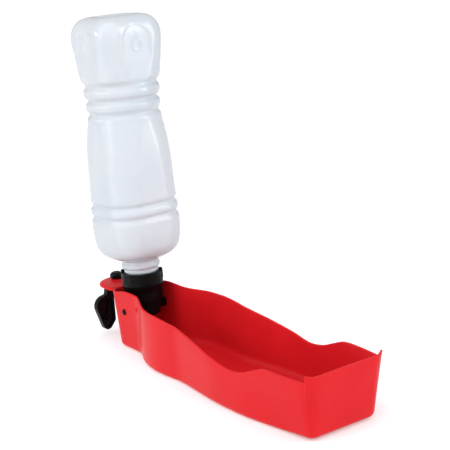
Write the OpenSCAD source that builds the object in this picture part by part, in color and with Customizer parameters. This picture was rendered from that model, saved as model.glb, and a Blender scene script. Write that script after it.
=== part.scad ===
// Travel drinking bottle that folds into its own trough.
// Millimetres. +Z up, +X along the trough from the hinge to the end wall.
// Origin: on the base plane, straight under the fold axle, midway between the side walls.

/* [Fold axle] */
// Height of the axle above the base
axle_z = 31.5; // [31:0.1:32.5]
// Backward lean of the bottle when it stands open
lean = 4; // [3:0.5:5]
// Radius of the axle pin
pin_r = 1.75; // [1.5:0.05:2]
// Radius of the pin's round head
pin_head_r = 2.5; // [2.3:0.1:3]

/* [Trough] */
// Wall thickness
wall = 1.8; // [1.6:0.1:2]
// Floor thickness
floor_t = 2; // [1.6:0.1:2.2]
// Outside rounding between the floor and the walls
floor_r = 4; // [3.5:0.5:5]
// Distance from the axle to the end wall, at the base
end_x = 239.8; // [239:0.2:243]
// How far the end wall leans out at its top
end_draft = 4.6; // [3:0.2:6]
// Height of the end wall
end_z = 48.5; // [47:0.5:50]
// Rise of the small horns at the end wall's corners
horn_rise = 1.4; // [0.8:0.2:3]

/* [Hanging flange] */
// Height of the flange's top face
flange_z = 46.5; // [46:0.5:47.5]
// Flange thickness
flange_t = 2.6; // [2:0.1:3]
// Half width of the flange
flange_half_w = 19.5; // [17:0.5:20]
// Reach of the flange behind the axle
flange_reach = 48.5; // [47:0.5:52]
// Distance of the clip stud behind the axle
stud_x = 41.5; // [40:0.5:42]
// Radius of the clip stud's shank
stud_r = 2; // [1.6:0.1:2.2]

/* [Socket] */
// Radius of the socket at its rim
socket_rim_r = 16.7; // [16.2:0.1:17]
// Height of the rim above the axle
socket_rim_s = 30; // [29:0.2:30.4]
// Radius of the cup that takes the bottle neck
cup_r = 13.2; // [13.1:0.05:13.6]
// Length of the axle bosses, tip to tip
boss_span = 37; // [35:0.2:37.4]

/* [Bottle] */
// Wall thickness of the blown bottle
bottle_wall = 1.2; // [1:0.05:1.3]
// Inside radius of the neck
neck_bore_r = 9.8; // [9:0.1:10]

/* [Hidden] */
$fn = 48;

run_gap = 0.05;                       // radial play of a shaft in its bore
cut = 1;                              // overshoot of a cutting solid
wall_out_y = 20.7;                    // outer face of a side wall at the axle
end_top_x = end_x + end_draft;

// Side wall from the hinge end to the end wall: base x, base half width, top x, top half width, top height
side_rows = [
    [-4.5, 20.2, -11.5, 21.0, 46.5],
    [6.0, 20.2, 3.0, 21.0, 49.3],
    [16.5, 20.4, 16.5, 21.2, 49.5],
    [22.0, 21.6, 22.0, 22.3, 48.8],
    [29.0, 25.0, 29.0, 25.4, 47.8],
    [37.0, 28.8, 37.0, 29.2, 47.5],
    [45.0, 31.4, 45.0, 32.2, 47.4],
    [55.0, 33.4, 55.0, 33.9, 47.1],
    [65.0, 34.0, 65.0, 34.6, 46.9],
    [78.0, 33.4, 78.0, 34.5, 46.0],
    [92.0, 32.5, 92.0, 34.1, 44.5],
    [116.0, 34.9, 116.0, 36.8, 40.8],
    [140.0, 37.2, 140.0, 39.3, 36.3],
    [160.0, 37.7, 160.0, 39.0, 32.9],
    [175.0, 37.2, 175.0, 38.8, 34.7],
    [188.0, 35.8, 188.0, 38.4, 39.7],
    [200.0, 34.1, 200.0, 38.3, 44.0],
    [216.0, 32.0, 217.0, 37.9, 44.6],
    [end_x - 8.8, 30.6, end_top_x - 8.9, 36.2, 44.6],
];
side_steps = 3;

// Bottle outline from the lip to the base: distance from the axle, half width, corner radius
thread_root_r = 11.8;
thread_crest_r = 12.7;
thread_first_s = 18.5;
thread_pitch = 3;
collar_rows = [[31, 13.9, 13.9], [33.4, 13.9, 13.9], [34.8, 15.3, 15.3], [36.6, 15.7, 15.7],
               [38.4, 15.2, 15.2], [40.2, 14.8, 14.8]];
shoulder_rows = [[42.2, 18.8, 17.5], [44.6, 23.6, 20.2], [47.6, 27.4, 21.6], [52.5, 29.9, 22.0],
                 [61, 31.2, 21.9], [70, 31.4, 21.4]];
grip_rib_rows = [[75.2, 31.3, 21.2], [78.6, 29.7, 20.2], [81.6, 31.1, 21.2], [85.4, 31.0, 21.2],
                 [88.4, 29.3, 20.2], [91.8, 30.7, 21.3]];
body_rows = [[101, 30.5, 21.5], [117, 30.4, 21.9], [131, 30.2, 23.2], [140, 29.8, 24.3],
             [148, 29.3, 25.6], [153.6, 29.1, 28.0]];
bellows_rows = [[157.6, 29.0, 29.0], [161.2, 27.1, 27.1], [164.4, 28.9, 28.9], [168.4, 29.3, 29.3],
                [171.8, 27.2, 27.2], [175.2, 29.4, 29.4], [179.6, 29.6, 29.6], [183.4, 27.4, 26.0]];
box_rows = [[188, 28.6, 22.0], [198, 28.8, 18.5], [208, 29.2, 16.3], [217, 29.6, 15.2],
            [224, 29.3, 14.8], [230.5, 26.8, 13.5], [234.6, 22.6, 10.5], [236.6, 17.5, 7.5]];
lip_s = 13.1;
bottle_base_s = 236.6;
bottle_sides = 40;

// ---------------------------------------------------------------- helpers

// Smooth curve through the rows of a table, at u counted in rows
function on_curve(rows, u) =
    let (last = len(rows) - 1, i = min(floor(u), last - 1), f = u - i,
         a = rows[max(i - 1, 0)], b = rows[i], c = rows[i + 1], d = rows[min(i + 2, last)])
    0.5 * (2 * b + (c - a) * f + (2 * a - 5 * b + 4 * c - d) * f * f + (3 * b - a - 3 * c + d) * f * f * f);

// Quadratic corner from a to c, pulled towards b
function corner(a, b, c, t) = (1 - t) * (1 - t) * a + 2 * t * (1 - t) * b + t * t * c;

// Triangles that join ring after ring of n points, then close both ends
function loft_faces(n, rings) = concat(
    [for (k = [0 : rings - 2], i = [0 : n - 1]) let (j = (i + 1) % n)
        [k * n + i, k * n + j, (k + 1) * n + j]],
    [for (k = [0 : rings - 2], i = [0 : n - 1]) let (j = (i + 1) % n)
        [k * n + i, (k + 1) * n + j, (k + 1) * n + i]],
    [[for (i = [n - 1 : -1 : 0]) i]],
    [[for (i = [0 : n - 1]) (rings - 1) * n + i]]);

// Frame of the bottle and its socket: +Z up the bottle from the axle
module on_axle() {
    translate([0, 0, axle_z]) rotate([0, -lean, 0]) children();
}

// Shape drawn as (y, z) and given a thickness along X, centred on x
module across_x(x, thickness) {
    translate([x - thickness / 2, 0, 0]) rotate([90, 0, 90]) linear_extrude(thickness) children();
}

// ---------------------------------------------------------------- trough

back_base_x = -13.2;
back_top_x = -20.3;
back_wall_z = 46.5;
back_corner_y = 11;
back_rows = [for (y = [0, 5.5]) [back_base_x, y, back_top_x, y, back_wall_z]];
back_corner_rows = [for (t = [0 : 1 / 6 : 0.99])
    corner([back_base_x, back_corner_y, back_top_x, back_corner_y, back_wall_z],
           [back_base_x, 20.2, back_top_x, 21, back_wall_z], side_rows[0], t)];
side_count = (len(side_rows) - 1) * side_steps;
side_curve = [for (k = [0 : side_count - 1]) on_curve(side_rows, k / side_steps)];

// Height of the top edge round the end corner: low side wall, sharp horn, then the end wall
side_end_z = side_rows[len(side_rows) - 1][4];
horn_t = 0.3;
function horn_shape(t) = t < horn_t - 0.06 ? 0 : t < horn_t ? 1 : pow(max(0, (0.85 - t) / (0.85 - horn_t)), 2);
function corner_top_z(t) = t < horn_t - 0.06 ? side_end_z : end_z + horn_rise * horn_shape(t);

end_corner_rows = [for (t = [0, 0.12, 0.22, 0.25, 0.3, 0.38, 0.48, 0.6, 0.75, 0.9])
    let (r = corner(side_rows[len(side_rows) - 1], [end_x, 30.8, end_top_x, 34.6, end_z],
                    [end_x, 22.5, end_top_x, 25, end_z], t))
    [r[0], r[1], r[2] + 0.9 * horn_shape(t), r[3] + 0.9 * horn_shape(t), corner_top_z(t)]];
end_rows = [for (f = [1, 0.5, 0]) [end_x, 22.5 * f, end_top_x, 25 * f, end_z + 0.3 * (1 - f)]];
half_loop = concat(back_rows, back_corner_rows, side_curve, end_corner_rows, end_rows);
half_n = len(half_loop);
loop = concat(half_loop, [for (k = [half_n - 2 : -1 : 1]) let (r = half_loop[k]) [r[0], -r[1], r[2], -r[3], r[4]]]);
loop_n = len(loop);

// Plan point of loop row i at height z
function loop_xy(i, z) = let (r = loop[i], f = z / r[4]) [r[0] + (r[2] - r[0]) * f, r[1] + (r[3] - r[1]) * f];
// Unit vector into the trough at loop row i
function loop_in(i) =
    let (a = loop_xy((i + loop_n - 1) % loop_n, 10), b = loop_xy((i + 1) % loop_n, 10), d = b - a)
    [d[1], -d[0]] / norm(d);
// Wall ring at height z above the base (or below the top edge when from_top), e in from the outer face
function wall_ring(z, from_top, e) = [for (i = [0 : loop_n - 1])
    let (h = from_top ? loop[i][4] - z : z, p = loop_xy(i, h) + e * loop_in(i)) [p[0], p[1], h]];

rim_r = 0.7;
inner_r = floor_r - wall;
floor_angles = [0, 30, 60, 90];
trough_rings = concat(
    [for (a = floor_angles) wall_ring(floor_r * (1 - cos(a)), false, floor_r * (1 - sin(a)))],
    [wall_ring(rim_r, true, 0), wall_ring(0.2, true, 0.2), wall_ring(0, true, wall / 2),
     wall_ring(0.2, true, wall - 0.2), wall_ring(rim_r, true, wall)],
    [for (k = [3 : -1 : 0]) let (a = floor_angles[k])
        wall_ring(floor_t + inner_r * (1 - cos(a)), false, wall + inner_r * (1 - sin(a)))]);

module trough_shell() {
    polyhedron([for (ring = trough_rings, p = ring) p], loft_faces(loop_n, len(trough_rings)));
}

flange_root_x = -back_top_x - 1.2;
flange_end_l = 14;
module flange() {
    flange_tip = [for (a = [0 : 10 : 180])
        [-(flange_reach - flange_end_l) - flange_end_l * sin(a), flange_half_w * cos(a)]];
    translate([0, 0, flange_z - flange_t]) linear_extrude(flange_t)
        polygon(concat([[-flange_root_x, -back_corner_y], [-flange_root_x, back_corner_y],
                        [-flange_root_x - 4, flange_half_w]], flange_tip, [[-flange_root_x - 4, -flange_half_w]]));
}

dimple_x = 19;
dimple_z = 38;
module trough() {
    color("#e0262c") difference() {
        union() {
            trough_shell();
            flange();
        }
        translate([0, 0, axle_z]) rotate([90, 0, 0]) cylinder(r = pin_r + run_gap, h = 60, center = true);
        translate([-stud_x, 0, flange_z - flange_t - cut]) cylinder(r = stud_r, h = flange_t + 2 * cut);
        for (side = [-1, 1]) translate([dimple_x, side * (wall_out_y + 1.4), dimple_z]) sphere(r = 1.9);
    }
}

// ---------------------------------------------------------------- axle

head_t = 1.3;
cap_grip_t = 2.2;
module axle_pin() {
    pin_half = wall_out_y + run_gap;
    color("#161616") translate([0, 0, axle_z]) rotate([90, 0, 0]) union() {
        translate([0, 0, -pin_half - cap_grip_t]) cylinder(r = pin_r, h = 2 * pin_half + cap_grip_t);
        translate([0, 0, pin_half]) rotate_extrude() polygon(concat([[0, 0], [pin_head_r, 0]],
            [for (a = [0 : 15 : 90]) [pin_head_r * cos(a), 0.4 + (head_t - 0.4) * sin(a)]]));
    }
}

module axle_cap() {
    cap_y = wall_out_y + run_gap;
    color("#161616") translate([0, cap_y, axle_z]) rotate([-90, 0, 0]) difference() {
        rotate_extrude() polygon(concat([[0, 0], [pin_head_r + 0.9, 0]],
            [for (a = [0 : 15 : 90]) [(pin_head_r + 0.9) * cos(a), 1.4 + (cap_grip_t - 0.2) * sin(a)]]));
        translate([0, 0, -cut]) cylinder(r = pin_r, h = cut + cap_grip_t);
    }
}

// ---------------------------------------------------------------- socket

skirt_r = 15.2;
skirt_s = 6.6;
nose_r = 12;
nose_s = -6;
ledge_s = 11;
pocket_r = 9.2;
pocket_t = 1.6;
chamber_r = 7;
chamber_s = 4.6;
outlet_x = 5.5;
outlet_r = 2.4;
boss_r = 4;
lug_r = 1.5;
rib_count = 4;
rib_pitch = 1.5;

// Outer profile of the socket, with fine grooves under the rim
socket_profile = concat(
    [[0, nose_s], [nose_r - 1.5, nose_s], [nose_r, nose_s + 1.5], [nose_r + 1.4, skirt_s - 2],
     [nose_r + 1.4, skirt_s], [skirt_r, skirt_s + 0.8], [skirt_r, skirt_s + 8], [socket_rim_r, 20]],
    [for (k = [rib_count - 1 : -1 : 0]) let (s = socket_rim_s - 2.4 - k * rib_pitch)
        each [[socket_rim_r, s - 0.45], [socket_rim_r - 0.25, s], [socket_rim_r, s + 0.45]]],
    [[socket_rim_r, socket_rim_s - 0.5], [socket_rim_r - 0.5, socket_rim_s], [0, socket_rim_s]]);

module lug() {
    lug_at = socket_rim_r - 0.85;
    translate([lug_at, 0, socket_rim_s - 6]) cylinder(r = lug_r, h = 7);
    translate([lug_at, 0, socket_rim_s + 1]) sphere(r = lug_r);
}

module socket() {
    color("#1c2022") on_axle() difference() {
        union() {
            rotate_extrude() polygon(socket_profile);
            rotate([90, 0, 0]) cylinder(r = boss_r, h = boss_span, center = true);
            for (turn = [45, 225]) rotate([0, 0, turn]) lug();
        }
        translate([0, 0, ledge_s]) cylinder(r = cup_r, h = socket_rim_s);
        translate([0, 0, ledge_s - pocket_t]) cylinder(r = pocket_r, h = pocket_t + cut);
        translate([0, 0, chamber_s]) cylinder(r = chamber_r, h = ledge_s - chamber_s);
        translate([outlet_x, 0, nose_s - cut]) cylinder(r = outlet_r, h = chamber_s - nose_s + 2 * cut);
        rotate([90, 0, 0]) cylinder(r = pin_r + run_gap, h = boss_span + 2 * cut, center = true);
    }
}

gasket_t = 2;
module neck_gasket() {
    color("#d8d8d2") on_axle() translate([0, 0, ledge_s]) difference() {
        cylinder(r = cup_r - 0.2, h = gasket_t);
        translate([0, 0, -cut]) cylinder(r = 7.8, h = gasket_t + 2 * cut);
    }
}

// Silicone disc with a thin domed middle, cut by a cross slit
module slit_valve() {
    dome_r = 5.5;
    skin = 0.6;
    flange_r = pocket_r - 0.1;
    color("#e8ecec") on_axle() translate([0, 0, ledge_s - pocket_t]) difference() {
        rotate_extrude() polygon(concat(
            [[0, -2.4], for (a = [15 : 15 : 75]) [dome_r * sin(a), -2.4 * cos(a)], [dome_r, 0]],
            [[flange_r, 0], [flange_r, pocket_t], [dome_r + skin, pocket_t]],
            [for (a = [75 : -15 : 15]) [(dome_r - skin) * sin(a), skin - 2.4 * cos(a)], [0, skin - 2.4]]));
        for (turn = [0, 90]) rotate([0, 0, turn]) cube([7, 0.2, 8], center = true);
    }
}

// ---------------------------------------------------------------- bottle

thread_rows = [for (k = [0 : 2]) let (s = thread_first_s + k * thread_pitch)
    each [[s - 1.4, thread_root_r, thread_root_r], [s, thread_crest_r, thread_crest_r]]];
bottle_rows = concat(
    [[lip_s, 11.3, 11.3], [lip_s + 1.2, thread_root_r, thread_root_r]], thread_rows,
    [[26.2, thread_root_r, thread_root_r], [29, 12, 12]],
    collar_rows, shoulder_rows, grip_rib_rows, body_rows, bellows_rows, box_rows);

// Rounded square ring with half width a and corner radius r, at distance s from the axle
function bottle_ring(s, a, r) = [for (i = [0 : bottle_sides - 1])
    let (t = (i + 0.5) * 360 / bottle_sides)
    [sign(cos(t)) * (a - r) + r * cos(t), sign(sin(t)) * (a - r) + r * sin(t), s]];

outer_rings = [for (q = bottle_rows) bottle_ring(q[0], q[1], q[2])];
// The inside follows every second row from the shoulder up, and is a plain bore in the neck
inside_from = len(thread_rows) + 5 + len(collar_rows);
inner_rows = concat(
    [for (k = [len(bottle_rows) - 1 : -2 : inside_from]) let (q = bottle_rows[k])
        [min(q[0], bottle_base_s - bottle_wall), q[1] - bottle_wall, max(q[2] - bottle_wall, 3)]],
    [[41.4, neck_bore_r + 2.6, neck_bore_r + 2.6], [38.6, neck_bore_r + 0.6, neck_bore_r + 0.6],
     [34, neck_bore_r, neck_bore_r], [lip_s, neck_bore_r, neck_bore_r]]);
inner_rings = [for (k = [len(inner_rows) - 1 : -1 : 0])
    bottle_ring(inner_rows[k][0], inner_rows[k][1], min(inner_rows[k][1], inner_rows[k][2]))];
bottle_shell = concat([for (k = [len(outer_rings) - 1 : -1 : 0]) outer_rings[k]], inner_rings);

module bottle() {
    color("#e6ecf4") on_axle()
        polyhedron([for (ring = bottle_shell, p = ring) p], loft_faces(bottle_sides, len(bottle_shell)));
}

// ---------------------------------------------------------------- belt clip

tab_top_z = flange_z - flange_t - 0.3;
tab_t = 2.6;
knob_r = 5.5;
knob_h = 5.4;
retainer_t = 1.1;
retainer_r = 3.4;

module clip_stud() {
    shank_l = flange_t + 0.3 + tab_t + 0.3 + retainer_t;
    color("#161616") translate([-stud_x, 0, flange_z]) difference() {
        union() {
            translate([0, 0, -shank_l]) cylinder(r = stud_r, h = shank_l + cut);
            rotate_extrude() polygon([[0, 0], [knob_r - 1.3, 0], [knob_r, 1.2], [knob_r, 3],
                                      [knob_r - 0.7, 4.3], [knob_r - 2.4, knob_h], [0, knob_h]]);
        }
        for (turn = [0 : 60 : 300]) rotate([0, 0, turn + 20])
            translate([knob_r + 2.4, 0, 0.8]) cylinder(r = 3, h = knob_h);
    }
}

module stud_retainer() {
    color("#161616") translate([-stud_x, 0, tab_top_z - tab_t - 0.3 - retainer_t]) difference() {
        cylinder(r = retainer_r, h = retainer_t);
        translate([0, 0, -cut]) cylinder(r = stud_r, h = retainer_t + 2 * cut);
    }
}

// D-shaped outline of the hanging plate, drawn as (y, z) with z measured from the flange's top
module clip_outline() {
    hull() {
        translate([-14.2, -20.8]) circle(r = 8.5);
        translate([-12.9, -37.4]) circle(r = 4.4);
        translate([-8.6, -33.8]) circle(r = 3.4);
        translate([-8, -13.4]) circle(r = 2.5);
    }
}

module clip_slot() {
    hull() {
        translate([-13.6, -27]) circle(r = 1.5);
        translate([-11.2, -17.4]) circle(r = 1.5);
    }
}

clip_web_t = 2.4;
clip_rim_t = 4.8;
pocket_depth = 1.4;
clip_boss = [-14.4, -31.8];
tab_r = 4.8;
tab_drop = flange_t + 0.3;
module belt_clip() {
    color("#141618") translate([-stud_x, 0, flange_z]) difference() {
        union() {
            across_x(0, clip_web_t) clip_outline();
            across_x(0, clip_rim_t) difference() {
                clip_outline();
                offset(delta = -1.9) clip_outline();
            }
            across_x(0, clip_rim_t) translate(clip_boss) circle(r = 2.5);
            across_x(0, clip_rim_t)
                polygon([[-13, -15], [-5.6, -15], [-5, -12], [-4.6, -tab_drop], [-11, -tab_drop]]);
            translate([0, 0, -tab_drop - tab_t]) linear_extrude(tab_t) hull() {
                circle(r = tab_r);
                translate([0, -8.6]) circle(r = 2.4);
            }
        }
        translate([0, 0, -tab_drop - tab_t - cut]) cylinder(r = stud_r + run_gap, h = tab_t + 2 * cut);
        translate([0, 0, -tab_drop - tab_t - 8]) cylinder(r = retainer_r + 0.4, h = 8);
        // Blind pocket and blind hole in the face on the trough's side
        across_x(clip_web_t / 2, 2 * pocket_depth) clip_slot();
        translate([0, clip_boss[0], clip_boss[1]]) rotate([0, 90, 0]) cylinder(r = 1.2, h = clip_rim_t);
    }
}

trough();
axle_pin();
axle_cap();
socket();
neck_gasket();
slit_valve();
bottle();
clip_stud();
stud_retainer();
belt_clip();
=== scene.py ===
import math

import bmesh
import bpy
import numpy as np
from mathutils import Matrix, Vector


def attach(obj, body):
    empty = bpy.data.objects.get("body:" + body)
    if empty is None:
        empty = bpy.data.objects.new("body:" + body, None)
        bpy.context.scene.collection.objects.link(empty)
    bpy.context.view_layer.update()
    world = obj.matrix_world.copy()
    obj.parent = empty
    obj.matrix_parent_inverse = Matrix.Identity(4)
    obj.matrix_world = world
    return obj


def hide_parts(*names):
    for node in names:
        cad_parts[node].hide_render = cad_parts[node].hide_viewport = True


# A travel drinking bottle: a milky squeeze bottle in a black socket that folds into a red trough.
# Shapes are worked out in millimetres in the part's own frame and written to the meshes in metres.

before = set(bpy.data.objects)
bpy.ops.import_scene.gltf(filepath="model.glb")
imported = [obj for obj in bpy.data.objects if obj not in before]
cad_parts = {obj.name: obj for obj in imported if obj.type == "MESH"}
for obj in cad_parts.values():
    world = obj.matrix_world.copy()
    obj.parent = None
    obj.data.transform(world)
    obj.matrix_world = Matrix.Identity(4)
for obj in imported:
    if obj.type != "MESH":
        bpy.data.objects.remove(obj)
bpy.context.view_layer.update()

MM = 0.001
SAME_POINT = 0.002

# ------------------------------------------------------------------ measures, mm
AXLE_Z = 31.5
LEAN = math.radians(4)
WALL = 1.8
FLOOR_T = 2.0
FLOOR_R = 4.0
INNER_R = 5.5
RIM_R = 0.75
END_X = 239.8
END_TOP_X = 244.4
END_Z = 48.5
END_LIFT = 1.5
END_LIFT_FROM = 206.0
END_CROWN = 0.3
END_FLAT_BASE_Y = 22.5
END_FLAT_TOP_Y = 25.0
END_PULL_BASE_Y = 30.8
END_PULL_TOP_Y = 34.6
STANDING_INSET = 9.0
# Rings that lie further in than the wall by this much are kept from folding at the corners
PAST_WALL = 0.01
INWARD_Z = 10.0
BACK_BASE_X = -13.2
BACK_TOP_X = -20.3
BACK_Z = 46.5
BACK_FLAT_YS = (0.0, 2.5, 5.0, 8.0)
BACK_CORNER_Y = 11.0
BACK_CORNER_ROWS = 14
SIDE_STEPS = 7
HORN_RISE = 1.4
HORN_LEAN = 0.9
# Where the pointed horn starts, peaks and ends, as shares of the way round the end corner
HORN_FROM = 0.25
HORN_PEAK = 0.3
HORN_TO = 0.85
# Shares at which the end corner has a row, closer together on the horn's rise
END_CORNER_ROWS = (0.0, 0.08, 0.16, 0.22, *np.linspace(HORN_FROM, HORN_PEAK, 4), *np.linspace(0.34, 0.96, 14))
FLANGE_Z = 46.5
FLANGE_T = 2.6
FLANGE_HALF_W = 19.5
FLANGE_REACH = 48.5
FLANGE_TIP_L = 14.0
FLANGE_EDGE_R = 0.8
FLANGE_ROOT_IN = 0.5
# Root of the flange, flaring out to its full width: distance from the root, half width
FLANGE_FLARE = ((0.0, 16.0), (1.2, 18.0), (4.0, FLANGE_HALF_W))
DIMPLE = (19.3, 21.7, 38.0)
DIMPLE_R = 1.9
BOTTLE_WALL = 1.2
BOTTLE_COLUMNS = 200
BOTTLE_ROW_GAP = 1.0
# Largest corner radius, as a share of the half width, that the rounded square's formula is given
ROUNDEST = 0.985
THREAD_ROOT_FROM = 15.5
THREAD_ROOT_TO = 27.0
THREAD_RUN_OUT = 1.5
THREAD_PITCH = 3.0
THREAD_H = 0.9
# Sunk arched panel on each face near the base, in millimetres across the face and up from the axle
PANEL_HALF_W = 12.4
PANEL_ARCH_S = 217.0
PANEL_FOOT_S = 196.0
PANEL_DEPTH = 0.75
PANEL_EDGE = (-0.9, 0.7)
PANEL_FADE_FROM = 199.0
PANEL_FADE_TO = 214.0
# Raised outline of a plain water drop in the panel: a round body below, two straight flanks to the tip
DROP_S = 213.5
DROP_R = 4.2
DROP_FLANK_FROM = 2.1
DROP_TIP = 8.4
DROP_FLANK = (0.86, 0.5)
DROP_LINE = 0.5
DROP_H = 0.5
DROP_EDGE = 0.6

# Side wall from the hinge end to the end wall: base x, base half width, top x, top half width, top height
SIDE_ROWS = [
    (-4.5, 20.2, -11.5, 21.0, 46.5),
    (6.0, 20.2, 3.0, 21.0, 49.3),
    (16.5, 20.4, 16.5, 21.2, 49.5),
    (22.0, 21.6, 22.0, 22.3, 48.8),
    (29.0, 25.0, 29.0, 25.4, 47.8),
    (37.0, 28.8, 37.0, 29.2, 47.5),
    (45.0, 31.4, 45.0, 32.2, 47.4),
    (55.0, 33.4, 55.0, 33.9, 47.1),
    (65.0, 34.0, 65.0, 34.6, 46.9),
    (78.0, 33.4, 78.0, 34.5, 46.0),
    (92.0, 32.5, 92.0, 34.1, 44.5),
    (116.0, 34.9, 116.0, 36.8, 40.8),
    (140.0, 37.2, 140.0, 39.25, 36.3),
    (160.0, 37.7, 160.0, 39.0, 32.9),
    (175.0, 37.2, 175.0, 38.8, 34.7),
    (188.0, 35.8, 188.0, 38.4, 39.7),
    (200.0, 34.1, 200.0, 38.3, 44.0),
    (216.0, 32.0, 217.0, 37.9, 44.6),
    (231.0, 30.6, 235.5, 36.2, 44.6),
]

# Bottle from the lip to the base: distance from the axle, half width, corner radius
BOTTLE_ROWS = [
    (13.1, 11.3, 11.3), (14.2, 11.8, 11.8), (20.0, 11.8, 11.8), (27.0, 11.8, 11.8), (29.2, 12.1, 12.1),
    (31.0, 13.9, 13.9), (33.4, 13.9, 13.9), (34.8, 15.3, 15.3), (36.6, 15.7, 15.7),
    (38.4, 15.2, 15.2), (40.2, 14.8, 14.8), (42.2, 18.8, 17.5), (44.6, 23.6, 20.2), (47.6, 27.4, 21.6),
    (52.5, 29.9, 22.0), (61.0, 31.2, 21.9), (70.0, 31.4, 21.4),
    (75.2, 31.3, 21.2), (78.6, 29.7, 20.2), (81.6, 31.1, 21.2), (85.4, 31.0, 21.2), (88.4, 29.3, 20.2),
    (91.8, 30.7, 21.3), (101.0, 30.5, 21.5), (117.0, 30.4, 21.9), (131.0, 30.2, 23.2), (140.0, 29.8, 24.3),
    (148.0, 29.3, 25.6), (153.6, 29.1, 27.5),
    (157.6, 29.0, 28.4), (161.2, 27.1, 26.8), (164.4, 28.9, 28.4), (168.4, 29.3, 28.8),
    (171.8, 27.2, 26.8), (175.2, 29.4, 28.6), (179.6, 29.6, 28.2), (183.4, 27.4, 25.6),
    (188.0, 28.6, 22.0), (198.0, 28.8, 18.5), (208.0, 29.2, 16.3), (217.0, 29.6, 15.2),
    (224.0, 29.3, 14.8), (230.5, 26.8, 13.5), (234.6, 22.6, 10.5), (236.4, 17.5, 9.0),
    (236.0, 14.0, 9.0), (234.4, 10.5, 8.5), (233.6, 4.0, 3.8), (233.5, 0.4, 0.3),
]

# Edges of the carried-over CAD nodes: sharper than these they are kept crisp and rounded off
CAD_SHARP_DEG = 30
BEVEL_FROM_DEG = 40
BLACK_BEVELS = (("axle_pin", 0.25), ("axle_cap", 0.25), ("socket", 0.3), ("clip_stud", 0.5),
                ("stud_retainer", 0.2), ("belt_clip", 0.5))

# ------------------------------------------------------------------ light and camera, metres
FLOOR_GLOW = 0.28
# Sky strength to the sides and overhead, in a lobe towards the camera and in a lobe away from it
SKY_SIDES = 0.92
SKY_FRONT = 1.5
SKY_BACK = 0.6
# Middle of each lobe
FRONT = (0.72, -0.52, 0.46)
BACK = (-0.8, 0.58, 0.25)
# Cosine of the angle off its middle at which a lobe begins, and is full
LOBE_EDGE = 0.3
LOBE_CORE = 0.9
# Name, place, target, width, height, watts
SOFTBOXES = [
    ("key_left", (0.05, -1.35, 0.75), (0.0, 0.0, 0.15), 0.22, 1.5, 3.4),
    ("side_left", (-0.75, -1.05, 0.6), (0.0, 0.0, 0.2), 0.35, 0.2, 3.2),
    ("fill_right", (1.05, 0.85, 0.6), (0.0, 0.0, 0.15), 0.3, 1.1, 4.8),
    ("overhead", (0.1, -0.35, 1.6), (0.1, 0.0, 0.0), 1.0, 1.0, 4.0),
]
FLOOR_SIZE = 30.0
CAMERA_PLACE = (0.8507, -0.5458, 0.3751)
CAMERA_AZIMUTH = math.radians(53.435)
CAMERA_ELEVATION = math.radians(15.435)
CAMERA_ROLL = math.radians(3.04)
CAMERA_LENS_MM = 103.99
CAMERA_SENSOR_MM = 36.0


# ------------------------------------------------------------------ geometry helpers
def smoothstep(low, high, x):
    """0 below low, 1 above high and a smooth rise between."""
    t = np.clip((x - low) / (high - low), 0.0, 1.0)
    return t * t * (3.0 - 2.0 * t)


def curve_through(rows, steps_of):
    """Smooth curve through the rows; steps_of(a, b) is the number of points from row a up to row b."""
    rows = np.array(rows, float)
    last = len(rows) - 1
    points = []
    for i in range(last):
        a, b, c, d = rows[max(i - 1, 0)], rows[i], rows[i + 1], rows[min(i + 2, last)]
        for f in np.linspace(0.0, 1.0, steps_of(b, c), endpoint=False):
            points.append(0.5 * (2 * b + (c - a) * f + (2 * a - 5 * b + 4 * c - d) * f * f
                                 + (3 * b - a - 3 * c + d) * f ** 3))
    points.append(rows[-1])
    return np.array(points)


def corner(a, b, c, t):
    """Point at share t of the round corner from a to c, pulled towards b."""
    return (1 - t) ** 2 * np.array(a) + 2 * t * (1 - t) * np.array(b) + t * t * np.array(c)


def make_mesh(name, points_mm, faces, sharp_deg=40):
    """A smooth-shaded mesh object with its place in its vertices, points that coincide joined, and edges
    above sharp_deg kept crisp."""
    mesh = bpy.data.meshes.new(name)
    mesh.from_pydata((np.array(points_mm) * MM).tolist(), [], faces)
    work = bmesh.new()
    work.from_mesh(mesh)
    bmesh.ops.remove_doubles(work, verts=work.verts, dist=SAME_POINT * MM)
    bmesh.ops.recalc_face_normals(work, faces=work.faces)
    work.to_mesh(mesh)
    work.free()
    mesh.shade_smooth()
    mesh.set_sharp_from_angle(angle=math.radians(sharp_deg))
    made = bpy.data.objects.new(name, mesh)
    bpy.context.scene.collection.objects.link(made)
    return made


def loft(name, rings, sharp_deg=40, ends="polygon"):
    """Quads from ring to ring. The ends are closed by one flat polygon each, by strips that run across
    a loop symmetric about y = 0, or left open."""
    count = len(rings[0])
    faces = []
    for k in range(len(rings) - 1):
        for i in range(count):
            j = (i + 1) % count
            faces.append((k * count + i, k * count + j, (k + 1) * count + j, (k + 1) * count + i))
    last = (len(rings) - 1) * count
    if ends == "polygon":
        faces += [tuple(range(count)), tuple(range(last, last + count))]
    if ends == "strips":
        for first in (0, last):
            for i in range(count // 2):
                across = (i, i + 1, count - i - 1, (count - i) % count)
                faces.append(tuple(first + v for v in dict.fromkeys(across)))
    return make_mesh(name, np.concatenate(rings), faces, sharp_deg)


def inward(loop):
    """Unit vectors into a clockwise plan outline."""
    d = np.roll(loop, -1, axis=0) - np.roll(loop, 1, axis=0)
    n = np.stack([d[:, 1], -d[:, 0]], 1)
    return n / np.linalg.norm(n, axis=1, keepdims=True)


def quarter(steps):
    """Angles that divide a quarter turn."""
    return np.linspace(0.0, math.pi / 2, steps + 1)


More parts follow.
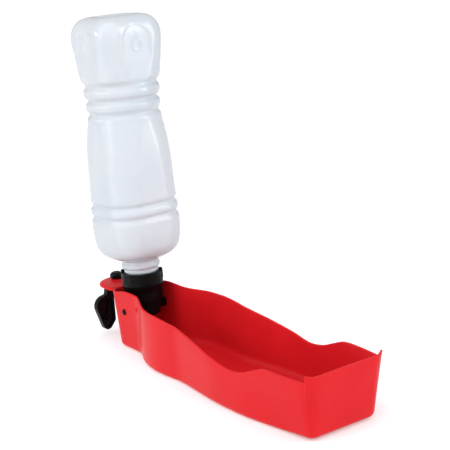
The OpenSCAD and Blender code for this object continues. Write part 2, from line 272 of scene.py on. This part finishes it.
def slab(name, outline, z_low, z_high, round_mm, steps=4):
    """A plate with rounded edges over a clockwise plan outline."""
    outline = np.array(outline, float)
    into = inward(outline)

    def ring(e, z):
        plan = outline + e * into
        return np.column_stack([plan, np.full(len(plan), z)])

    low = [ring(round_mm * (1 - math.sin(a)), z_low + round_mm * (1 - math.cos(a)))
           for a in quarter(steps)]
    high = [ring(round_mm * (1 - math.sin(a)), z_high - round_mm * (1 - math.cos(a)))
            for a in quarter(steps)[::-1]]
    return loft(name, low + high)


def from_axle(points):
    """Points of the leaning bottle frame, whose z runs up the bottle from the axle, in the part's frame."""
    x, y, s = points.T
    return np.column_stack([x * math.cos(LEAN) - s * math.sin(LEAN), y,
                            AXLE_Z + x * math.sin(LEAN) + s * math.cos(LEAN)])


def give(made, body, slot, *nodes):
    """Puts a piece on its body, in place of the CAD nodes. The slot is not used."""
    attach(made, body)
    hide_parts(*nodes)


# ------------------------------------------------------------------ trough
def horn_shape(t):
    """Height of the horn, 0 to 1, at share t of the way round the end corner."""
    if t < HORN_PEAK:
        return smoothstep(HORN_FROM, HORN_PEAK, t)
    return max(0.0, (HORN_TO - t) / (HORN_TO - HORN_PEAK)) ** 2


def half_outline():
    """Loop rows from the middle of the back wall, round the +Y side, to the middle of the end wall."""
    rows = [(BACK_BASE_X, y, BACK_TOP_X, y, BACK_Z) for y in BACK_FLAT_YS]
    first_side, last_side = SIDE_ROWS[0], SIDE_ROWS[-1]
    back_from = (BACK_BASE_X, BACK_CORNER_Y, BACK_TOP_X, BACK_CORNER_Y, BACK_Z)
    back_pull = (BACK_BASE_X, first_side[1], BACK_TOP_X, first_side[3], BACK_Z)
    rows += [corner(back_from, back_pull, first_side, t)
             for t in np.linspace(0, 1, BACK_CORNER_ROWS, endpoint=False)]
    rows += list(curve_through(SIDE_ROWS, lambda a, b: SIDE_STEPS)[:-1])
    end_pull = (END_X, END_PULL_BASE_Y, END_TOP_X, END_PULL_TOP_Y, END_Z)
    end_to = (END_X, END_FLAT_BASE_Y, END_TOP_X, END_FLAT_TOP_Y, END_Z)
    side_top = last_side[4]
    horn_top = END_Z + HORN_RISE
    for t in END_CORNER_ROWS:
        row = corner(last_side, end_pull, end_to, t)
        rise = horn_shape(t)
        row[2:4] += HORN_LEAN * rise
        if t < HORN_PEAK:
            row[4] = side_top + (horn_top - side_top) * rise
        else:
            row[4] = END_Z + HORN_RISE * rise
        rows.append(row)
    rows += [(END_X, END_FLAT_BASE_Y * f, END_TOP_X, END_FLAT_TOP_Y * f, END_Z + END_CROWN * (1 - f))
             for f in (1, 0.75, 0.5, 0.25, 0)]
    return np.array([np.array(r, float) for r in rows])


def cut_dimples(made):
    """A small blind dimple in each outer wall, beside the hinge."""
    x, y, z = DIMPLE
    cutters = []
    for side in (1, -1):
        bpy.ops.mesh.primitive_uv_sphere_add(segments=24, ring_count=12, radius=DIMPLE_R * MM,
                                             location=(x * MM, side * y * MM, z * MM))
        cutters.append(bpy.context.object)
        cut = made.modifiers.new("dimple", "BOOLEAN")
        cut.object = cutters[-1]
    solved = made.evaluated_get(bpy.context.evaluated_depsgraph_get())
    cut_mesh = bpy.data.meshes.new_from_object(solved)
    made.modifiers.clear()
    made.data = cut_mesh
    made.data.name = made.name
    for cutter in cutters:
        bpy.data.objects.remove(cutter)


def trough():
    """The shell: rings from the standing face, up the outside, over the rim and down to the inner floor."""
    half = half_outline()
    other = half[-2:0:-1] * np.array([1, -1, 1, -1, 1])
    loop = np.concatenate([half, other])
    top = loop[:, 4]

    def plan_at(z):
        f = (z / top)[:, None]
        return loop[:, 0:2] + (loop[:, 2:4] - loop[:, 0:2]) * f

    into = inward(plan_at(np.full(len(loop), INWARD_Z)))
    lift = END_LIFT * smoothstep(END_LIFT_FROM, END_X, loop[:, 0])

    mid_end = len(half) - 1
    back_to = int(np.argmax(half[:, 0] >= SIDE_ROWS[0][0]))
    end_from = int(np.argmax(half[:, 0] >= SIDE_ROWS[-1][0]))
    rank = np.minimum(np.arange(len(loop)), len(loop) - np.arange(len(loop)))

    def ring(z, e):
        z = z * np.ones(len(loop))
        plan = plan_at(z) + e * into
        if e > WALL + PAST_WALL:
            # A corner tighter than the offset is drawn to a point instead of folding over itself
            plan[:, 0] = np.clip(plan[:, 0], plan[0, 0], plan[mid_end, 0])
            for part, edge in ((rank <= back_to, back_to), (rank >= end_from, end_from)):
                plan[part, 1] = np.clip(plan[part, 1], -plan[edge, 1], plan[edge, 1])
        return np.column_stack([plan, z])

    rings = [ring(0.0, STANDING_INSET)]
    rings += [ring(lift + FLOOR_R * (1 - math.cos(a)), FLOOR_R * (1 - math.sin(a))) for a in quarter(6)]
    low = lift + FLOOR_R
    for f in (0.25, 0.5, 0.75):
        rings.append(ring(low + (top - RIM_R - low) * f, 0.0))
    rings += [ring(top - RIM_R * (1 - math.sin(a)), RIM_R * (1 - math.cos(a))) for a in quarter(4)]
    rings += [ring(top - RIM_R * (1 - math.sin(a)), WALL - RIM_R * (1 - math.cos(a)))
              for a in quarter(4)[::-1]]
    low = FLOOR_T + INNER_R
    for f in (0.75, 0.5, 0.25):
        rings.append(ring(low + (top - RIM_R - low) * f, WALL))
    rings += [ring(FLOOR_T + INNER_R * (1 - math.sin(a)), WALL + INNER_R * (1 - math.cos(a)))
              for a in quarter(7)]
    made = loft("trough_shell", rings, sharp_deg=50, ends="strips")
    cut_dimples(made)
    return made


def flange():
    """The tab behind the hinge that the belt clip hangs from."""
    root_x = -BACK_TOP_X - FLANGE_ROOT_IN
    tip = [(-(FLANGE_REACH - FLANGE_TIP_L) - FLANGE_TIP_L * math.sin(a), -FLANGE_HALF_W * math.cos(a))
           for a in np.linspace(0, math.pi, 49)]
    flare = [(-root_x - out, -half_w) for out, half_w in FLANGE_FLARE]
    outline = flare + tip + [(x, -y) for x, y in flare[::-1]]
    return slab("trough_flange", outline, FLANGE_Z - FLANGE_T, FLANGE_Z, FLANGE_EDGE_R)


# ------------------------------------------------------------------ bottle
def square_radius(theta, a, r):
    """Distance from the middle to the outline of a rounded square with half width a, at angle theta."""
    t = np.abs((theta + math.pi / 4) % (math.pi / 2) - math.pi / 4)
    c = a - r
    on_flat = a / np.cos(t)
    on_arc = c * (np.cos(t) + np.sin(t)) + np.sqrt(np.maximum(r * r - c * c * (1 - np.sin(2 * t)), 0))
    return np.where(a * np.tan(t) <= c, on_flat, on_arc)


def drop_distance(u, v):
    """Signed distance, roughly, to the outline of a plain water drop that points to +v."""
    body = np.hypot(u, v) - DROP_R
    flank = np.abs(u) * DROP_FLANK[0] + (v - DROP_TIP) * DROP_FLANK[1]
    return np.where(v > DROP_FLANK_FROM, flank, body)


def relief(theta, s, a):
    """Raised (+) and sunk (-) detail on the four box faces, in mm along the radius."""
    t = (theta + math.pi / 4) % (math.pi / 2) - math.pi / 4
    u = a * np.tan(t)
    arch = np.where(s > PANEL_ARCH_S, np.hypot(u, s - PANEL_ARCH_S), np.abs(u)) - PANEL_HALF_W
    arch = np.maximum(arch, PANEL_FOOT_S - s)
    inside = 1 - smoothstep(*PANEL_EDGE, arch)
    panel = -PANEL_DEPTH * inside * smoothstep(PANEL_FADE_FROM, PANEL_FADE_TO, s)
    line = np.abs(drop_distance(u, s - DROP_S)) - DROP_LINE
    drop = DROP_H * (1 - smoothstep(-DROP_EDGE, DROP_EDGE, line))
    return panel + drop


def thread(theta, s):
    """Height of the neck's thread above its root, at angle theta and distance s from the axle."""
    phase = (s / THREAD_PITCH - theta / (2 * math.pi)) % 1.0
    # The ridge takes up half of the pitch
    ridge = np.clip(1.0 - np.abs(phase - 0.5) * 4.0, 0.0, 1.0)
    fade = smoothstep(THREAD_ROOT_FROM, THREAD_ROOT_FROM + THREAD_RUN_OUT, s)
    fade = fade * (1 - smoothstep(THREAD_ROOT_TO - THREAD_RUN_OUT, THREAD_ROOT_TO, s))
    return THREAD_H * ridge * fade


def bottle_steps(a, b):
    """Number of rows from one row of the table up to the next."""
    return max(2, math.ceil(np.hypot(b[0] - a[0], b[1] - a[1]) / BOTTLE_ROW_GAP))


def bottle():
    """The outside from base to lip, with the base closed and the wall's thickness added inwards."""
    rows = curve_through(BOTTLE_ROWS, bottle_steps)
    theta = np.linspace(0, 2 * math.pi, BOTTLE_COLUMNS, endpoint=False)
    rings = []
    for s, a, r in rows:
        radius = square_radius(theta, a, min(r, a * ROUNDEST))
        radius = radius + relief(theta, s, a) + thread(theta, s)
        rings.append(from_axle(np.column_stack([radius * np.cos(theta), radius * np.sin(theta),
                                                np.full(len(theta), s)])))
    made = loft("bottle_wall", rings[::-1], sharp_deg=60, ends="open")
    work = bmesh.new()
    work.from_mesh(made.data)
    work.verts.ensure_lookup_table()
    work.faces.new([work.verts[i] for i in range(BOTTLE_COLUMNS)])
    bmesh.ops.recalc_face_normals(work, faces=work.faces)
    work.to_mesh(made.data)
    work.free()
    shell = made.modifiers.new("wall", "SOLIDIFY")
    shell.thickness = BOTTLE_WALL * MM
    shell.offset = -1
    return made


# ------------------------------------------------------------------ materials
# Part of a noise texture's 0 to 1 that its values mostly fill
NOISE_LOW = 0.3
NOISE_HIGH = 0.7
NOISE_SPAN = {"From Min": NOISE_LOW, "From Max": NOISE_HIGH}


def srgb(code):
    """Linear RGBA of an sRGB hex colour."""
    parts = [int(code[i:i + 2], 16) / 255 for i in (1, 3, 5)]
    return tuple(p / 12.92 if p <= 0.04045 else ((p + 0.055) / 1.055) ** 2.4 for p in parts) + (1.0,)


def per_mm(size):
    """Noise scale, in object coordinates of metres, for features about size mm wide."""
    return 1.0 / (size * MM)


def add(tree, kind, settings=None, values=None, links=None, stops=None):
    """One node: settings are its attributes, values its unlinked sockets, links the outputs fed into it,
    and stops the hex colours along its colour ramp."""
    made = tree.nodes.new(kind)
    for key, value in (settings or {}).items():
        setattr(made, key, value)
    for key, value in (values or {}).items():
        made.inputs[key].default_value = value
    for key, (source, output) in (links or {}).items():
        tree.links.new(source.outputs[output], made.inputs[key])
    for place, (position, code) in enumerate((stops or {}).items()):
        made.color_ramp.elements[place].position = position
        made.color_ramp.elements[place].color = srgb(code)
    return made


def new_material(name):
    made = bpy.data.materials.new(name)
    made.use_nodes = True
    made.node_tree.nodes.clear()
    return made, made.node_tree


def red_polypropylene():
    """Injection moulded and glossy: a deep even red with slight pigment flow, and a skin whose gloss
    wanders a little, which softens the reflections."""
    made, tree = new_material("red_polypropylene")
    place = add(tree, "ShaderNodeTexCoord")
    flow = add(tree, "ShaderNodeTexNoise", values={"Scale": per_mm(38), "Detail": 3.0, "Distortion": 0.6},
               links={"Vector": (place, "Object")})
    colour = add(tree, "ShaderNodeValToRGB", links={"Fac": (flow, "Fac")},
                 stops={NOISE_LOW: "#c51a20", NOISE_HIGH: "#cb1e24"})
    skin = add(tree, "ShaderNodeTexNoise", values={"Scale": per_mm(45), "Detail": 0.0},
               links={"Vector": (place, "Object")})
    rough = add(tree, "ShaderNodeMapRange", values={**NOISE_SPAN, "To Min": 0.28, "To Max": 0.32},
                links={"Value": (skin, "Fac")})
    shader = add(tree, "ShaderNodeBsdfPrincipled",
                 values={"IOR": 1.49, "Specular IOR Level": 0.1},
                 links={"Base Color": (colour, "Color"), "Roughness": (rough, "Result")})
    add(tree, "ShaderNodeOutputMaterial", links={"Surface": (shader, "BSDF")})
    return made


def black_polypropylene():
    """Moulded with a satin face: near black with a cool sheen, and a fine spark-eroded grain that
    breaks up the highlights."""
    made, tree = new_material("black_polypropylene")
    place = add(tree, "ShaderNodeTexCoord")
    blotch = add(tree, "ShaderNodeTexNoise", values={"Scale": per_mm(12), "Detail": 4.0},
                 links={"Vector": (place, "Object")})
    colour = add(tree, "ShaderNodeValToRGB", links={"Fac": (blotch, "Fac")},
                 stops={0.35: "#030405", NOISE_HIGH: "#080a0b"})
    grain = add(tree, "ShaderNodeTexNoise", values={"Scale": per_mm(0.5), "Detail": 2.0},
                links={"Vector": (place, "Object")})
    rough = add(tree, "ShaderNodeMapRange", values={**NOISE_SPAN, "To Min": 0.3, "To Max": 0.42},
                links={"Value": (blotch, "Fac")})
    bump = add(tree, "ShaderNodeBump", values={"Strength": 0.2, "Distance": 0.015 * MM},
               links={"Height": (grain, "Fac")})
    shader = add(tree, "ShaderNodeBsdfPrincipled", values={"IOR": 1.49, "Specular IOR Level": 0.1},
                 links={"Base Color": (colour, "Color"), "Roughness": (rough, "Result"),
                        "Normal": (bump, "Normal")})
    add(tree, "ShaderNodeOutputMaterial", links={"Surface": (shader, "BSDF")})
    return made


def milky_polyethylene():
    """Blow moulded and unpigmented: cloudy white with a cool cast where the wall is thick, light passing
    through from behind, and a soft waxy gloss."""
    made, tree = new_material("milky_polyethylene")
    place = add(tree, "ShaderNodeTexCoord")
    cloud = add(tree, "ShaderNodeTexNoise", values={"Scale": per_mm(45), "Detail": 3.0, "Distortion": 0.8},
                links={"Vector": (place, "Object")})
    colour = add(tree, "ShaderNodeValToRGB", links={"Fac": (cloud, "Fac")},
                 stops={NOISE_LOW: "#eef6fd", NOISE_HIGH: "#f9fbff"})
    skin = add(tree, "ShaderNodeTexNoise", values={"Scale": per_mm(5), "Detail": 3.0},
               links={"Vector": (place, "Object")})
    bump = add(tree, "ShaderNodeBump", values={"Strength": 0.1, "Distance": 0.01 * MM},
               links={"Height": (skin, "Fac")})
    rough = add(tree, "ShaderNodeMapRange", values={**NOISE_SPAN, "To Min": 0.13, "To Max": 0.18},
                links={"Value": (skin, "Fac")})
    lit = {"Color": (colour, "Color"), "Normal": (bump, "Normal")}
    cloudy = add(tree, "ShaderNodeBsdfDiffuse", links=lit)
    through = add(tree, "ShaderNodeBsdfTranslucent", links=lit)
    clear = add(tree, "ShaderNodeBsdfTransparent", values={"Color": srgb("#f4f6f8")})
    gloss = add(tree, "ShaderNodeBsdfGlossy",
                links={"Roughness": (rough, "Result"), "Normal": (bump, "Normal")})
    coat_share = add(tree, "ShaderNodeFresnel", values={"IOR": 1.51}, links={"Normal": (bump, "Normal")})
    wall = add(tree, "ShaderNodeMixShader", values={"Fac": 0.4},
               links={1: (cloudy, "BSDF"), 2: (through, "BSDF")})
    thin = add(tree, "ShaderNodeMixShader", values={"Fac": 0.2},
               links={1: (wall, "Shader"), 2: (clear, "BSDF")})
    coated = add(tree, "ShaderNodeMixShader",
                 links={"Fac": (coat_share, "Fac"), 1: (thin, "Shader"), 2: (gloss, "BSDF")})
    add(tree, "ShaderNodeOutputMaterial", links={"Surface": (coated, "Shader")})
    return made


def silicone():
    """Cast silicone rubber: whitish, matt and slightly cloudy."""
    made, tree = new_material("silicone_rubber")
    place = add(tree, "ShaderNodeTexCoord")
    cloud = add(tree, "ShaderNodeTexNoise", values={"Scale": per_mm(6), "Detail": 3.0},
                links={"Vector": (place, "Object")})
    colour = add(tree, "ShaderNodeValToRGB", links={"Fac": (cloud, "Fac")},
                 stops={NOISE_LOW: "#d2d4d0", NOISE_HIGH: "#e4e6e2"})
    bump = add(tree, "ShaderNodeBump", values={"Strength": 0.1, "Distance": 0.05 * MM},
               links={"Height": (cloud, "Fac")})
    shader = add(tree, "ShaderNodeBsdfPrincipled",
                 values={"IOR": 1.41, "Roughness": 0.5, "Subsurface Weight": 0.2,
                         "Subsurface Radius": (2 * MM,) * 3, "Subsurface Scale": 1.0},
                 links={"Base Color": (colour, "Color"), "Normal": (bump, "Normal")})
    add(tree, "ShaderNodeOutputMaterial", links={"Surface": (shader, "BSDF")})
    return made


def pale_floor():
    """Painted studio board: near white, matt, with a barely seen mottle."""
    made, tree = new_material("painted_board")
    place = add(tree, "ShaderNodeTexCoord")
    mottle = add(tree, "ShaderNodeTexNoise", values={"Scale": per_mm(60), "Detail": 2.0},
                 links={"Vector": (place, "Object")})
    colour = add(tree, "ShaderNodeValToRGB", links={"Fac": (mottle, "Fac")},
                 stops={NOISE_LOW: "#e6e6e6", NOISE_HIGH: "#e9e9e9"})
    shader = add(tree, "ShaderNodeBsdfPrincipled",
                 values={"Roughness": 0.9, "Specular IOR Level": 0.1, "Emission Strength": FLOOR_GLOW},
                 links={"Base Color": (colour, "Color"), "Emission Color": (colour, "Color")})
    add(tree, "ShaderNodeOutputMaterial", links={"Surface": (shader, "BSDF")})
    return made


def dress(made, material):
    made.data.materials.clear()
    made.data.materials.append(material)


def dress_node(node, material, bevel_mm):
    """A carried-over CAD node: crisp edges softened by a small bevel, smooth curved faces."""
    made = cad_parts[node]
    dress(made, material)
    made.data.shade_smooth()
    made.data.set_sharp_from_angle(angle=math.radians(CAD_SHARP_DEG))
    if bevel_mm:
        edge = made.modifiers.new("edge", "BEVEL")
        edge.width = bevel_mm * MM
        edge.segments = 3
        edge.limit_method = "ANGLE"
        edge.angle_limit = math.radians(BEVEL_FROM_DEG)


# ------------------------------------------------------------------ light and camera
def aim(made, place, target):
    made.location = place
    made.rotation_euler = (Vector(target) - Vector(place)).to_track_quat("-Z", "Y").to_euler()


def softbox(name, place, target, width, height, watts):
    light = bpy.data.lights.new(name, "AREA")
    light.shape = "RECTANGLE"
    light.size = width
    light.size_y = height
    light.energy = watts
    made = bpy.data.objects.new(name, light)
    bpy.context.scene.collection.objects.link(made)
    aim(made, place, target)


def studio():
    """A plain bright room: sky with a strong and a weak side, four softboxes and the floor."""
    world = bpy.data.worlds.new("studio")
    world.use_nodes = True
    tree = world.node_tree
    tree.nodes.clear()
    place = add(tree, "ShaderNodeTexCoord")
    lobes = []
    for side, level in ((FRONT, SKY_FRONT), (BACK, SKY_BACK)):
        towards = add(tree, "ShaderNodeVectorMath", {"operation": "DOT_PRODUCT"}, {1: side},
                      {0: (place, "Generated")})
        change = add(tree, "ShaderNodeMapRange", {"interpolation_type": "SMOOTHSTEP"},
                     {"From Min": LOBE_EDGE, "From Max": LOBE_CORE, "To Min": 0.0,
                      "To Max": level - SKY_SIDES},
                     {"Value": (towards, "Value")})
        lobes.append((change, "Result"))
    total = add(tree, "ShaderNodeMath", {"operation": "ADD"}, links=dict(enumerate(lobes)))
    strength = add(tree, "ShaderNodeMath", {"operation": "ADD"}, {1: SKY_SIDES}, {0: (total, "Value")})
    sky = add(tree, "ShaderNodeBackground", values={"Color": srgb("#fbfcff")},
              links={"Strength": (strength, "Value")})
    add(tree, "ShaderNodeOutputWorld", links={"Surface": (sky, "Background")})
    bpy.context.scene.world = world
    for values in SOFTBOXES:
        softbox(*values)
    bpy.ops.mesh.primitive_plane_add(size=FLOOR_SIZE, location=(0.0, 0.0, 0.0))
    floor = bpy.context.object
    floor.name = "floor"
    dress(floor, pale_floor())
    bpy.context.scene.view_settings.view_transform = "Standard"


def camera():
    """A long lens in front and a little above, with a slight roll."""
    azimuth, elevation, roll = CAMERA_AZIMUTH, CAMERA_ELEVATION, CAMERA_ROLL
    forward = Vector((-math.sin(azimuth) * math.cos(elevation), math.cos(azimuth) * math.cos(elevation),
                      -math.sin(elevation)))
    right = Vector((math.cos(azimuth), math.sin(azimuth), 0.0))
    up = right.cross(forward)
    turned_right = right * math.cos(roll) - up * math.sin(roll)
    turned_up = right * math.sin(roll) + up * math.cos(roll)
    data = bpy.data.cameras.new("camera")
    data.sensor_width = CAMERA_SENSOR_MM
    data.lens = CAMERA_LENS_MM
    made = bpy.data.objects.new("camera", data)
    bpy.context.scene.collection.objects.link(made)
    turn = Matrix((turned_right, turned_up, -forward)).transposed().to_4x4()
    made.matrix_world = Matrix.Translation(CAMERA_PLACE) @ turn
    bpy.context.scene.camera = made


# ------------------------------------------------------------------ the object
def build():
    red = red_polypropylene()
    black = black_polypropylene()
    milky = milky_polyethylene()
    rubber = silicone()
    for made in (trough(), flange()):
        dress(made, red)
        give(made, "base", "red_plastic", "trough")
    wall = bottle()
    dress(wall, milky)
    give(wall, "bottle", "milky_plastic", "bottle")
    for node, bevel_mm in BLACK_BEVELS:
        dress_node(node, black, bevel_mm)
    for node in ("neck_gasket", "slit_valve"):
        dress_node(node, rubber, 0)


build()
studio()
camera()
